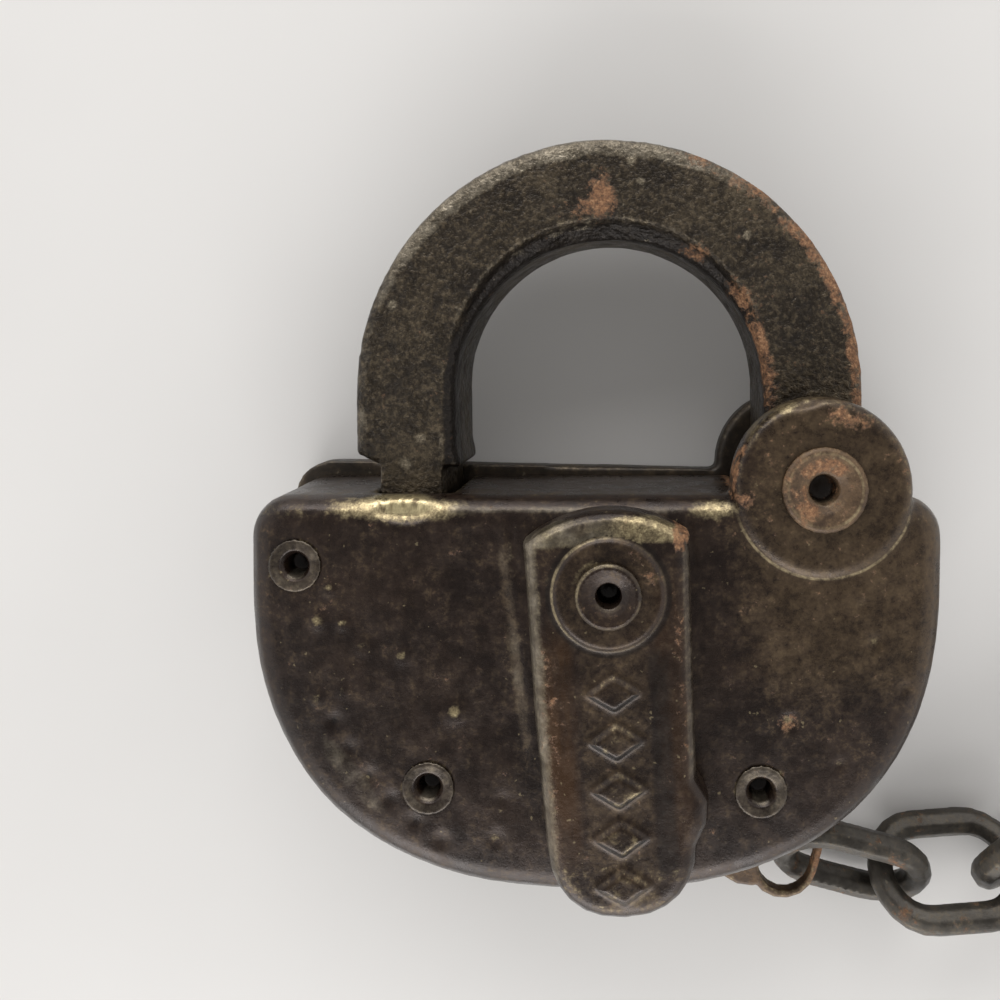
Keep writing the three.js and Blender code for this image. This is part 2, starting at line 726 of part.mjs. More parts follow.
function bolt() {
  const low = BOLT_BOTTOM;
  const high = BOLT_BOTTOM + BOLT_THICK;
  const arm = BOLT_ARM_WIDTH / 2;
  const eye = disc(boltPin, BOLT_EYE_RADIUS, low, high, 24);
  const nose = solid(taperedBar(boltPin, arm, turnedPoint(NOSE_X, NOSE_Y, 0), arm, low, high));
  const tail = solid(taperedBar(boltPin, arm, boltTail(), arm, low, high));
  return cut(join(eye, nose, tail), disc(boltPin, BOLT_PIN_RADIUS + HOLE_GAP, low - 1, high + 1, 20));
}

// Leaf spring from its post down to the tail of the bolt.
function boltSpring() {
  const tail = boltTail();
  const post = springPostAt();
  const rest = SPRING_THICK / 2 + RUN_GAP + 0.1;
  const line = new THREE.CatmullRomCurve3([
    new THREE.Vector3(post.x + 1.5, post.y + SPRING_POST_RADIUS + rest + 0.1, 0),
    new THREE.Vector3(post.x, post.y + SPRING_POST_RADIUS + rest, 0),
    new THREE.Vector3((2 * post.x + tail.x) / 3 - 0.4, (2 * post.y + tail.y) / 3 + 2.4, 0),
    new THREE.Vector3((post.x + 2 * tail.x) / 3, (post.y + 2 * tail.y) / 3 + 2.2, 0),
    new THREE.Vector3(tail.x + 0.6, tail.y + BOLT_ARM_WIDTH / 2 + rest + 0.2, 0),
  ]);
  const points = line.getPoints(14);
  const side = (sign) => points.map((p, i) => {
    const t = line.getTangent(i / 14);
    return new THREE.Vector2(p.x - sign * t.y * SPRING_THICK / 2, p.y + sign * t.x * SPRING_THICK / 2);
  });
  const low = BOLT_BOTTOM + (BOLT_THICK - SPRING_HEIGHT) / 2;
  return solid(prism([...side(1), ...side(-1).reverse()], low, low + SPRING_HEIGHT));
}

function springPostAt() {
  return new THREE.Vector2(
    hinge.x - HEEL_RADIUS - POST_FROM_HEEL - SPRING_POST_RADIUS, hinge.y - POST_BELOW_HINGE);
}

function pin(at, radius, high) {
  return turned([[0, WALL], [radius, WALL], [radius, high - 0.3], [radius - 0.3, high], [0, high]], at, 18);
}

function wardRing() {
  const ring = turned([
    [WARD_INNER, WALL],
    [WARD_OUTER, WALL],
    [WARD_OUTER, WALL + WARD_HEIGHT],
    [WARD_INNER, WALL + WARD_HEIGHT],
    [WARD_INNER, WALL],
  ], key, 30);
  const mouth = solid(box(key.x - 2, key.x + 2, key.y - 2 * WARD_OUTER, key.y, 0, WALL + WARD_HEIGHT + 1));
  return cut(ring, mouth);
}

// Chain lug

function lugNeck() {
  return new THREE.Vector2(lowerRivet.x + 0.9, chainStart.y - 0.15);
}

// Ends and outer radius of the long eye that the first link hangs in.
function lugEye() {
  const along = direction(LINK_HEADINGS[0]);
  const across = new THREE.Vector2(-along.y, along.x);
  const middle = chainStart.clone().addScaledVector(along, 0.45).addScaledVector(across, 0.1);
  const upper = middle.clone().addScaledVector(across, LUG_HOLE_HALF);
  const lower = middle.clone().addScaledVector(across, -LUG_HOLE_HALF);
  return { along, upper, lower, rim: LUG_HOLE_RADIUS + LUG_RIM };
}

function chainLug() {
  const { along, upper, lower, rim } = lugEye();
  const shift = (p) => p.clone().addScaledVector(along, -0.2);
  const eye = solid(taperedBar(shift(upper), rim, shift(lower), rim, LUG_BOTTOM, lugTop, 0.25, 1));
  const neck = solid(taperedBar(
    lowerRivet, LUG_RING_RADIUS, lugNeck(), LUG_NECK_RADIUS, LUG_BOTTOM, lugTop, 0.25, 1,
  ));
  const hole = solid(taperedBar(upper, LUG_HOLE_RADIUS, lower, LUG_HOLE_RADIUS, 0, lugTop + 3));
  return cut(join(neck, eye), hole, disc(lowerRivet, RIVET_SHOULDER_RADIUS + HOLE_GAP, 0, lugTop + 3));
}

// Looks

const look = {
  case: { color: 0x3b322f, roughness: 0.42, metalness: 0.7 },
  back: { color: 0x4a4138, roughness: 0.6, metalness: 0.6 },
  shackle: { color: 0x5b5646, roughness: 0.7, metalness: 0.6 },
  rust: { color: 0x7a4426, roughness: 0.9, metalness: 0.2 },
  brass: { color: 0x8d7440, roughness: 0.5, metalness: 0.8 },
  steel: { color: 0x6a6660, roughness: 0.5, metalness: 0.8 },
  chain: { color: 0x6e6c69, roughness: 0.55, metalness: 0.7 },
};

const group = new THREE.Group();

function place(name, body, style) {
  const mesh = new THREE.Mesh(geometryOf(body), new THREE.MeshStandardMaterial(look[style]));
  mesh.name = name;
  group.add(mesh);
}

place('front_case', frontCase(), 'case');
place('back_case', backCase(), 'back');
place('shackle', shackle(), 'shackle');
place('shackle_rivet', shackleRivet(), 'rust');
Object.entries(caseRivets).forEach(([name, at]) => place(name, caseRivet(at), 'case'));
place('key_drop', keyDrop(), 'case');
place('drop_rivet', dropRivet(), 'case');
place('bolt', bolt(), 'brass');
place('bolt_pivot', pin(boltPin, BOLT_PIN_RADIUS, ceiling - HOLE_GAP), 'steel');
place('bolt_spring', boltSpring(), 'steel');
place('spring_post', pin(springPostAt(), SPRING_POST_RADIUS, ceiling - HOLE_GAP), 'steel');
place('key_post', pin(key, KEY_POST_RADIUS, CASE_DEPTH - 0.9), 'steel');
place('ward_ring', wardRing(), 'brass');
place('chain_lug', chainLug(), 'rust');
chainPlaces().forEach((at, i) => place(`chain_link_${i + 1}`, chainLink(at), 'chain'));

export default group;
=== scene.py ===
# Rusty railway switch padlock lying on its back on a glossy white table.
# Places and sizes are in millimetres in the frame of the part, unless a name or a comment
# says metres.
# Turns are in degrees. Strengths of wear, painted highlight, rust, dirt, painted shade and tint
# are shares from 0 to 1.

import json
import math
import bpy
import numpy as np
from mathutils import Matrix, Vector

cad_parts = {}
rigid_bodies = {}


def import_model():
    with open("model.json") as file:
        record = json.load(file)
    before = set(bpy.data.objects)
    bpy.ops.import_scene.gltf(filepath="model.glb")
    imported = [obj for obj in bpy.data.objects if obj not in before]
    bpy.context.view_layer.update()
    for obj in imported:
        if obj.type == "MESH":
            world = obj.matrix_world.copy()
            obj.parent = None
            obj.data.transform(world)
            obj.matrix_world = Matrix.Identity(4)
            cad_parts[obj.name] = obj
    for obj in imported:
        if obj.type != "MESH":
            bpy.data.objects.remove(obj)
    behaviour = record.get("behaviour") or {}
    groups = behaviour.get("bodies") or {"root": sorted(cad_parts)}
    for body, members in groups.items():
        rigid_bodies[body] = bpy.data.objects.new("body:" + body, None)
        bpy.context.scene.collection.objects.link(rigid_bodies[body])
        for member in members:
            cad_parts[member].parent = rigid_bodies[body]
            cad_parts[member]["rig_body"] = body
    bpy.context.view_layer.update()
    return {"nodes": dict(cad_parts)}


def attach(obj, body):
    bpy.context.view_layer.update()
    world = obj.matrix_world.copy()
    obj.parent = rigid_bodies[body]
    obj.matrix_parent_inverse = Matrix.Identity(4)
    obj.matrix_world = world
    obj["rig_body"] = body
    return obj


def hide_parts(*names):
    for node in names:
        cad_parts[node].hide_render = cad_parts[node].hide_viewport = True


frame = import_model()
scene = bpy.context.scene
MM = 0.001


# Camera

CAMERA_PLACE = (3.28, 34.89, 96.09)
CAMERA_TURN = (-0.23, 0.56, 0)
CAMERA_SHIFT = (-0.12, -0.15)
CAMERA_LENS = 28.59
CAMERA_SENSOR = 36
CAMERA_NEAR = 5


def make_camera():
    data = bpy.data.cameras.new("camera")
    data.sensor_width = CAMERA_SENSOR
    data.lens = CAMERA_LENS
    data.shift_x, data.shift_y = CAMERA_SHIFT
    data.clip_start = CAMERA_NEAR * MM
    cam = bpy.data.objects.new("camera", data)
    cam.location = [value * MM for value in CAMERA_PLACE]
    cam.rotation_euler = [math.radians(turn) for turn in CAMERA_TURN]
    scene.collection.objects.link(cam)
    scene.camera = cam


make_camera()


# Seeded noise on points

HASH_PRIMES = (73856093, 19349663, 83492791, 40503001)
HASH_ROUNDS = ((13, 1274126177), (15, 2246822519))
WORD = 0xFFFFFFFF
HALF_RANGE = 32767.5
# Keeps the corners of the noise away from the axes of the part
NOISE_OFFSET = 31.7
SEED_STEP = 7


# Values from -1 to 1 for whole places and a seed
def hashed(*place):
    h = 0
    for value, prime in zip(place, HASH_PRIMES):
        h = h ^ (value * prime)
    for shift, factor in HASH_ROUNDS:
        h = ((h ^ (h >> shift)) * factor) & WORD
    return ((h >> 7) & 0xFFFF) / HALF_RANGE - 1


def waves(co, size, seed):
    q = co / size + NOISE_OFFSET
    i = np.floor(q).astype(np.int64)
    f = q - i
    u = f * f * (3 - 2 * f)
    total = np.zeros(len(co))
    for corner in range(8):
        d = np.array([corner & 1, (corner >> 1) & 1, (corner >> 2) & 1])
        w = np.where(d, u, 1 - u).prod(axis=1)
        total += w * hashed(i[:, 0] + d[0], i[:, 1] + d[1], i[:, 2] + d[2], seed)
    return total


def layered(co, size, seed, layers=3):
    total, height, whole = 0, 1, 0
    for k in range(layers):
        total = total + height * waves(co, size / 2 ** k, seed + SEED_STEP * k)
        whole += height
        height *= 0.5
    return total / whole


# Soft steps and areas

# From 0 at low to 1 at high, which may also lie below low
def ease(low, high, x):
    t = np.clip((x - low) / (high - low), 0, 1)
    return t * t * (3 - 2 * t)


def band(value, low, high, soft):
    return ease(low - soft, low + soft, value) * (1 - ease(high - soft, high + soft, value))


# Places along and across a line that leans by turn
def turned(co, at, turn):
    a = math.radians(turn)
    dx, dy = co[:, 0] - at[0], co[:, 1] - at[1]
    return dx * math.cos(a) + dy * math.sin(a), dy * math.cos(a) - dx * math.sin(a)


# Distance and direction from an upright axis
def about(co, at):
    dx, dy = co[:, 0] - at[0], co[:, 1] - at[1]
    return np.hypot(dx, dy), np.degrees(np.arctan2(dy, dx)) % 360


def spot(co, x, y, radius, soft=0.6):
    d = np.hypot(co[:, 0] - x, co[:, 1] - y)
    return 1 - ease(radius * (1 - soft), radius * (1 + soft), d)


def patch(co, x, y, half_x, half_y, turn, soft=0.4):
    u, v = turned(co, (x, y), turn)
    return 1 - ease(1 - soft, 1 + soft, np.hypot(u / half_x, v / half_y))


def most(*values):
    out = values[0]
    for value in values[1:]:
        out = np.maximum(out, value)
    return out


# Meshes worked as arrays of points

# Shares of a smoothing step inwards and of the step back, which keeps the size
SMOOTH_IN = 0.55
SMOOTH_OUT = 0.58
BLUR = 0.6


class Skin:
    def __init__(self, mesh):
        self.mesh = mesh
        co = np.empty(len(mesh.vertices) * 3)
        mesh.vertices.foreach_get("co", co)
        self.co = co.reshape(-1, 3) / MM
        edges = np.empty(len(mesh.edges) * 2, np.int32)
        mesh.edges.foreach_get("vertices", edges)
        self.edges = edges.reshape(-1, 2)
        corners = np.empty(len(mesh.loops), np.int32)
        mesh.loops.foreach_get("vertex_index", corners)
        self.quads = corners.reshape(-1, 4)
        self.count = np.bincount(self.edges.ravel(), minlength=len(self.co))

    # Mean of the neighbours of each point
    def near(self, values):
        if values.ndim > 1:
            return np.stack([self.near(column) for column in values.T], axis=1)
        a, b = self.edges[:, 0], self.edges[:, 1]
        count = len(self.co)
        return (np.bincount(a, values[b], count) + np.bincount(b, values[a], count)) / self.count

    def blurred(self, values, times):
        for _ in range(times):
            values = (1 - BLUR) * values + BLUR * self.near(values)
        return values

    def smooth(self, times):
        for _ in range(times):
            self.co = self.co + SMOOTH_IN * (self.near(self.co) - self.co)
            self.co = self.co - SMOOTH_OUT * (self.near(self.co) - self.co)

    def normals(self):
        q = self.co[self.quads]
        face = np.cross(q[:, 2] - q[:, 0], q[:, 3] - q[:, 1])
        out = np.zeros_like(self.co)
        for k in range(4):
            for axis in range(3):
                out[:, axis] += np.bincount(self.quads[:, k], face[:, axis], len(self.co))
        return out / np.maximum(np.linalg.norm(out, axis=1, keepdims=True), 1e-12)

    def push(self, depth):
        self.co = self.co + self.normals() * depth[:, None]

    # Positive where the surface is a ridge, negative in a groove
    def ridge(self, times):
        normal = self.normals()
        bend = ((self.co - self.near(self.co)) * normal).sum(axis=1)
        return self.blurred(bend, times)

    def keep(self, name, values):
        layer = self.mesh.attributes.new(name, "FLOAT", "POINT")
        layer.data.foreach_set("value", np.clip(values, 0, 1).astype(np.float32))

    def close(self):
        self.mesh.vertices.foreach_set("co", (self.co * MM).ravel())
        self.mesh.polygons.foreach_set("use_smooth", np.ones(len(self.quads), bool))
        self.mesh.update()


def dress(node, slot, voxel, passes, shape):
    part = frame["nodes"][node]
    obj = bpy.data.objects.new(node + "_worn", part.data.copy())
    scene.collection.objects.link(obj)
    voxels = obj.modifiers.new("voxels", "REMESH")
    voxels.mode = "VOXEL"
    voxels.voxel_size = voxel * MM
    view = bpy.context.evaluated_depsgraph_get()
    fine = bpy.data.meshes.new_from_object(obj.evaluated_get(view))
    obj.modifiers.clear()
    obj.data = fine
    obj.data.materials.clear()
    obj.data.materials.append(materials[slot])
    skin = Skin(fine)
    skin.smooth(passes)
    shape(skin)
    skin.close()
    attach(obj, part["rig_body"])
    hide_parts(node)


# Node materials

# How far each further noise is moved, so that no two of them match
NOISE_MOVE = (0.37, 0.59, 0.23)


class Paint:
    def __init__(self, name):
        self.material = bpy.data.materials.new(name)
        self.material.use_nodes = True
        self.tree = self.material.node_tree
        self.tree.nodes.clear()
        self.out = self.add("ShaderNodeOutputMaterial")
        self.shader = self.add("ShaderNodeBsdfPrincipled")
        self.tree.links.new(self.shader.outputs[0], self.out.inputs[0])
        self.place = self.add("ShaderNodeTexCoord").outputs["Object"]
        self.seed = 0

    def add(self, kind, **facts):
        node = self.tree.nodes.new(kind)
        for key, value in facts.items():
            setattr(node, key, value)
        return node

    def put(self, socket, value):
        if isinstance(value, bpy.types.NodeSocket):
            self.tree.links.new(value, socket)
        elif isinstance(value, tuple) and socket.type == "RGBA":
            socket.default_value = (*value, 1)
        else:
            socket.default_value = value

    def moved(self, scale):
        node = self.add("ShaderNodeMapping")
        self.seed += 1
        node.inputs["Location"].default_value = [step * self.seed for step in NOISE_MOVE]
        node.inputs["Scale"].default_value = scale
        self.tree.links.new(self.place, node.inputs["Vector"])
        return node.outputs[0]

    def noise(self, size, detail=5, rough=0.6, twist=0.0, scale=(1, 1, 1)):
        node = self.add("ShaderNodeTexNoise")
        self.put(node.inputs["Vector"], self.moved(scale))
        node.inputs["Scale"].default_value = 1000 / size
        node.inputs["Detail"].default_value = detail
        node.inputs["Roughness"].default_value = rough
        node.inputs["Distortion"].default_value = twist
        return node.outputs[0]

    def ramp(self, value, *stops):
        node = self.add("ShaderNodeValToRGB")
        points = node.color_ramp.elements
        while len(points) < len(stops):
            points.new(0.5)
        for point, (at, colour) in zip(points, stops):
            point.position = at
            point.color = (*colour, 1)
        self.put(node.inputs[0], value)
        return node.outputs[0]

    def span(self, value, low, high, to_low=0.0, to_high=1.0):
        node = self.add("ShaderNodeMapRange", interpolation_type="SMOOTHSTEP")
        self.put(node.inputs["Value"], value)
        self.put(node.inputs["From Min"], low)
        self.put(node.inputs["From Max"], high)
        self.put(node.inputs["To Min"], to_low)
        self.put(node.inputs["To Max"], to_high)
        return node.outputs[0]

    def work(self, kind, a, b=0.0):
        node = self.add("ShaderNodeMath", operation=kind)
        self.put(node.inputs[0], a)
        self.put(node.inputs[1], b)
        return node.outputs[0]

    def plus(self, a, b):
        return self.work("ADD", a, b)

    def times(self, a, b):
        return self.work("MULTIPLY", a, b)

    # A noise about its middle, made stronger or weaker
    def swing(self, value, gain):
        return self.times(self.work("SUBTRACT", value, 0.5), gain)

    def mix(self, share, a, b):
        node = self.add("ShaderNodeMix", data_type="RGBA")
        self.put(node.inputs[0], share)
        self.put(node.inputs[6], a)
        self.put(node.inputs[7], b)
        return node.outputs[2]

    def blend(self, share, a, b):
        node = self.add("ShaderNodeMix", data_type="FLOAT")
        self.put(node.inputs[0], share)
        self.put(node.inputs[2], a)
        self.put(node.inputs[3], b)
        return node.outputs[0]

    # Thin ring about an upright axis
    def ring(self, at, radius, width):
        flat = self.add("ShaderNodeVectorMath", operation="MULTIPLY")
        flat.inputs[1].default_value = (1, 1, 0)
        self.put(flat.inputs[0], self.place)
        away = self.add("ShaderNodeVectorMath", operation="DISTANCE")
        away.inputs[1].default_value = (at[0] * MM, at[1] * MM, 0)
        self.put(away.inputs[0], flat.outputs[0])
        off = self.work("ABSOLUTE", self.work("SUBTRACT", away.outputs["Value"], radius * MM))
        return self.span(off, 0.3 * width * MM, width * MM, 1.0, 0.0)

    # A layer that the shapes below keep on their points
    def kept(self, name):
        return self.add("ShaderNodeAttribute", attribute_name=name).outputs["Fac"]

    def finish(self, colour, rough, metal, height, deep):
        self.put(self.shader.inputs["Base Color"], colour)
        self.put(self.shader.inputs["Roughness"], rough)
        self.put(self.shader.inputs["Metallic"], metal)
        bump = self.add("ShaderNodeBump")
        bump.inputs["Strength"].default_value = 1.0
        bump.inputs["Distance"].default_value = deep * MM
        self.put(bump.inputs["Height"], height)
        self.put(self.shader.inputs["Normal"], bump.outputs[0])
        return self.material


def srgb(r, g, b):
    def straight(v):
        v /= 255
        return v / 12.92 if v <= 0.04045 else ((v + 0.055) / 1.055) ** 2.4
    return straight(r), straight(g), straight(b)


PIT = srgb(22, 16, 13)
# Dark colour for dirt and for painted shade
DIRT_AND_SHADE = srgb(21, 16, 14)
# Painted shade in the low spots of the hammered relief
DENT_SHADE = srgb(24, 20, 14)
AMBER = srgb(64, 43, 24)
PLAIN_STOPS = ((0.36, srgb(88, 82, 73)), (0.5, srgb(124, 117, 106)), (0.64, srgb(166, 158, 144)))
RUST_STOPS = (
    (0.25, srgb(60, 41, 30)),
    (0.42, srgb(102, 71, 49)),
    (0.55, srgb(139, 100, 69)),
    (0.7, srgb(185, 147, 110)),
)
# Sizes of the noises
CLOUD, MOTTLE, SPECK, FINE = 8, 2.4, 0.62, 0.2
BRUSHED, STREAK, FLECK, CUT, CRUST, RUST_GRAIN = 1.1, 1.6, 0.75, 0.9, 0.7, 0.4
WORN_ROUGH, RUST_ROUGH = 0.36, 0.75
WORN_METAL, RUST_METAL = 0.9, 0.2


# Old browned metal with worn edges, rust, dirt, painted highlights and painted shade from the
# kept layers.
# coat: dark, middle and warm colour. bare: dark, middle and bright colour of the metal below.
# blotch, mist, even: how much the coat is clouded, misted with specks, and misted evenly.
# highlight rings: place, radius, width of thin painted highlight lines. relief: size of a
# hammered bump.
def weathered(name, coat, bare, rough, metal=0.5, grain=1.0, deep=0.06,
              blotch=1.0, mist=0.6, even=0.0, highlight_rings=(), relief=0.0):
    dark, mid, warm = coat
    p = Paint(name)
    cloud = p.noise(CLOUD, 4, 0.6, 0.4)
    mottle = p.noise(MOTTLE, 5, 0.66)
    speck = p.noise(SPECK * grain, 5, 0.72)
    fine = p.noise(FINE * grain, 3, 0.6)
    brushed = p.noise(BRUSHED, 4, 0.7, 0.0, (1.0, 0.2, 1.0))

    # Coat
    base = p.mix(p.span(p.blend(0.5, mottle, cloud), 0.38, 0.62, 0.0, blotch), dark, mid)
    cluster = p.span(p.blend(0.4, mottle, brushed), 0.42, 0.62, even)
    base = p.mix(p.times(cluster, p.span(speck, 0.46, 0.66, 0.0, mist)), base, warm)
    warmth = p.plus(p.kept("tint"), p.swing(p.blend(0.5, speck, mottle), 1.4))
    base = p.mix(p.span(warmth, 0.2, 0.95, 0.0, 0.9), base, warm)
    base = p.mix(p.span(speck, 0.3, 0.42, 0.45, 0.0), base, PIT)
    streak = p.noise(STREAK, 4, 0.6, 0.0, (1.0, 0.3, 1.0))
    base = p.mix(p.times(p.kept("amber"), p.span(streak, 0.3, 0.6, 0.35, 1.0)), base, AMBER)
    if relief:
        swell = p.noise(relief, 3, 0.6)
        # Painted highlight on the peaks of the hammered relief and painted shade in its low spots
        base = p.mix(p.span(swell, 0.5, 0.68, 0.0, 0.5), base, warm)
        base = p.mix(p.span(swell, 0.34, 0.46, 0.4, 0.0), base, DENT_SHADE)
    # Dirt and painted shade from the kept layer
    dirt_and_shade = p.plus(p.kept("dirt_and_shade"), p.swing(speck, 0.6))
    base = p.mix(p.span(dirt_and_shade, 0.15, 0.8, 0.0, 0.85), base, DIRT_AND_SHADE)

    # Bare metal, shown where worn and also as painted highlights
    tone = p.ramp(p.blend(0.5, fine, speck), (0.36, bare[0]), (0.52, bare[1]), (0.66, bare[2]))
    # Greyer tone for rubbed places and for painted sheen
    rub_and_sheen_tone = p.ramp(mottle, *PLAIN_STOPS)
    tone = p.mix(p.times(p.kept("plain"), 0.85), tone, rub_and_sheen_tone)
    flecks = p.span(p.noise(FLECK, 2, 0.5), 0.71, 0.77)
    base = p.mix(p.times(flecks, 0.4), base, bare[1])
    ragged = p.plus(p.swing(speck, 1.0), p.swing(mottle, 0.7))
    ragged = p.times(ragged, p.span(p.kept("plain"), 0.0, 1.0, 1.0, 0.3))
    worn = p.span(p.plus(p.kept("wear_and_highlight"), ragged), 0.2, 1.0)
    base = p.mix(p.times(worn, 0.95), base, tone)
    # Thin painted highlight lines along rims, in the bare metal colour
    for at, radius, width in highlight_rings:
        highlight_line = p.times(p.ring(at, radius, width), p.kept("highlight_line"))
        broken = p.span(p.blend(0.5, mottle, speck), 0.4, 0.6, 0.1, 0.7)
        base = p.mix(p.times(highlight_line, broken), base, bare[1])
    cuts = p.noise(CUT, 3, 0.6, 0.0, (1.0, 0.22, 1.0))
    gouge = p.kept("gouge")
    cut_tone = p.ramp(cuts, (0.36, bare[0]), (0.5, bare[2]), (0.62, bare[1]))
    base = p.mix(gouge, base, cut_tone)

    # Rust
    crust = p.noise(CRUST, 5, 0.72)
    scatter = p.plus(p.swing(crust, 2.0), p.swing(mottle, 1.2))
    rusty = p.span(p.plus(p.kept("rust"), scatter), 0.3, 0.85)
    rust_share = p.times(rusty, 0.9)
    base = p.mix(rust_share, base, p.ramp(p.noise(RUST_GRAIN, 5, 0.75), *RUST_STOPS))

    # Shine and bump
    shine = p.span(mottle, 0.35, 0.65, rough - 0.06, rough + 0.08)
    shine = p.plus(shine, p.swing(speck, 0.25))
    shine = p.blend(worn, shine, WORN_ROUGH)
    shine = p.blend(rusty, shine, RUST_ROUGH)
    metallic = p.blend(p.work("MAXIMUM", worn, gouge), metal, WORN_METAL)
    metallic = p.blend(rusty, metallic, RUST_METAL)
    height = p.plus(p.times(speck, 0.7), p.times(fine, 0.3))
    height = p.plus(height, p.times(rusty, crust))
    if relief:
        height = p.plus(p.times(height, 0.4), p.times(swell, 1.6))
    height = p.plus(height, p.times(p.times(gouge, cuts), 2.5))
    return p.finish(base, shine, metallic, height, deep)


def plain_metal(name, dark, mid, light, rough):
    p = Paint(name)
    cloud = p.noise(3, 6, 0.65)
    fine = p.noise(0.4, 5, 0.7)
    base = p.ramp(cloud, (0.3, dark), (0.5, mid), (0.7, light))
    base = p.mix(p.span(fine, 0.3, 0.42, 0.8, 0.0), base, srgb(30, 20, 14))
    shine = p.span(fine, 0.3, 0.7, rough - 0.12, rough + 0.15)
    return p.finish(base, shine, p.span(cloud, 0.2, 0.8, 0.55, 0.95), fine, 0.05)


# Axes of the big rivet and of the drop, and the middle of the bow
HINGE = (22.4, 21.0)
DROP_PIN = (1.5, 11.9)
BOW = (1.3, 30.2)

BRASSY = (srgb(108, 96, 75), srgb(158, 143, 111), srgb(209, 194, 152))
STEELY = (srgb(98, 90, 76), srgb(132, 122, 105), srgb(172, 160, 138))

materials = {
    "case_metal": weathered(
        "case_finish", (srgb(32, 23, 19), srgb(47, 35, 28), srgb(88, 72, 52)), BRASSY,
        rough=0.31, deep=0.045, mist=0.5,
        highlight_rings=((HINGE, 8.8, 0.2), (DROP_PIN, 5.3, 0.2), (DROP_PIN, 2.95, 0.2))),
    "back_metal": weathered(
        "back_finish", (srgb(44, 38, 32), srgb(64, 54, 44), srgb(84, 70, 52)), STEELY,
        rough=0.42),
    "shackle_metal": weathered(
        "shackle_finish", (srgb(38, 31, 23), srgb(51, 43, 32), srgb(96, 84, 66)), STEELY,
        rough=0.38, metal=0.6, grain=0.8, deep=0.16, blotch=0.4, mist=0.4, even=0.5, relief=0.6),
    "rusty_iron": weathered(
        "rust_finish", (srgb(66, 51, 39), srgb(90, 71, 53), srgb(122, 98, 70)), BRASSY,
        rough=0.46, metal=0.4, grain=0.7, highlight_rings=((HINGE, 3.6, 0.2),)),
    "chain_steel": weathered(
        "chain_finish", (srgb(54, 50, 45), srgb(79, 75, 69), srgb(96, 84, 67)), STEELY,
        rough=0.42, metal=0.6, grain=0.8),
    "works_brass": plain_metal(
        "works_brass_finish", srgb(96, 74, 38), srgb(140, 112, 62), srgb(170, 140, 84), 0.42),
    "works_steel": plain_metal(
        "works_steel_finish", srgb(62, 54, 48), srgb(96, 88, 80), srgb(126, 118, 108), 0.45),
}


# Shapes of the worn pieces

# Keeps the layers of the finish. bend is the ridge that counts as a full edge, edge_wear the
# most that an edge is worn, and calm takes the wear of edges away again.
def finish_layers(skin, bend, edge_wear, rust=0.0, tint=0.0, wear_and_highlight=0.0, dirt_and_shade=0.0, calm=0.0,
                  plain=0.0, highlight_line=0.0, gouge=0.0, amber=0.0):
    ridge = skin.ridge(2) / bend
    edges = ease(0.1, 0.9, ridge) * edge_wear * (1 - calm)
    # Grooves and hollows, which are darkened
    hollow = ease(0.15, 0.9, -ridge)
    none = np.zeros(len(skin.co))
    for name, values in (
        ("wear_and_highlight", np.maximum(edges, wear_and_highlight)), ("dirt_and_shade", np.maximum(hollow, dirt_and_shade)),
        ("rust", rust), ("tint", tint), ("plain", plain), ("highlight_line", highlight_line), ("gouge", gouge),
        ("amber", amber),
    ):
        skin.keep(name, values + none)


# Lean of the drop, and of the step that it has worn beside it
DROP_LEAN = 3
# Small dents, each with a painted highlight on its upper left: place, radius, depth
DINGS = (
    (19.0, -1.8, 0.8, 0.25), (27.5, 6.0, 0.7, 0.18), (-9.0, -9.5, 0.6, 0.12),
    (24.0, -6.0, 0.6, 0.14), (26.2, 9.6, 0.5, 0.12), (-9.6, -13.4, 0.8, 0.14),
    (30.4, 1.5, 0.6, 0.14),
)
# Small bumps, each with a painted highlight on its upper left: place, radius, strength
BUMPS = (
    (-26.0, 11.1, 0.5, 0.9), (-27.1, 7.9, 0.6, 1.1), (-24.7, 7.6, 0.45, 1.0),
    (-18.8, 4.4, 0.6, 0.7), (-22.7, 5.4, 0.7, 0.5), (-27.2, 0.3, 0.6, 0.5),
    (-24.7, 1.0, 0.5, 0.5), (-13.6, -1.1, 0.85, 1.1),
)
# Rounded outline of the face: half width, length of the foot, where the foot starts, power
FACE_HALF, FOOT_LENGTH, FOOT_START, FACE_POWER = 34.5, 32.4, 13, 2.45
# Half size of the face, and the width and depth of the fall along its edge
FACE_REACH, EDGE_WIDTH, EDGE_FALL = 33, 7.5, 0.36
SCAR = (-23.9, -7.3)
SCAR_TURN = -51


# How far the face falls away towards its sides and its foot
def fall_of_face(co):
    x, y, z = co.T
    sides = (np.abs(x) / FACE_HALF) ** FACE_POWER
    foot = (np.maximum(0, FOOT_START - y) / FOOT_LENGTH) ** FACE_POWER
    bowl = (sides + foot) ** (1 / FACE_POWER)
    edge = 1 - np.clip((1 - bowl) * FACE_REACH / EDGE_WIDTH, 0, 1)
    clear_of_ear = ease(8.0, 9.5, about(co, HINGE)[0])
    return EDGE_FALL * edge ** 2 * ease(14.8, 17.5, z) * clear_of_ear


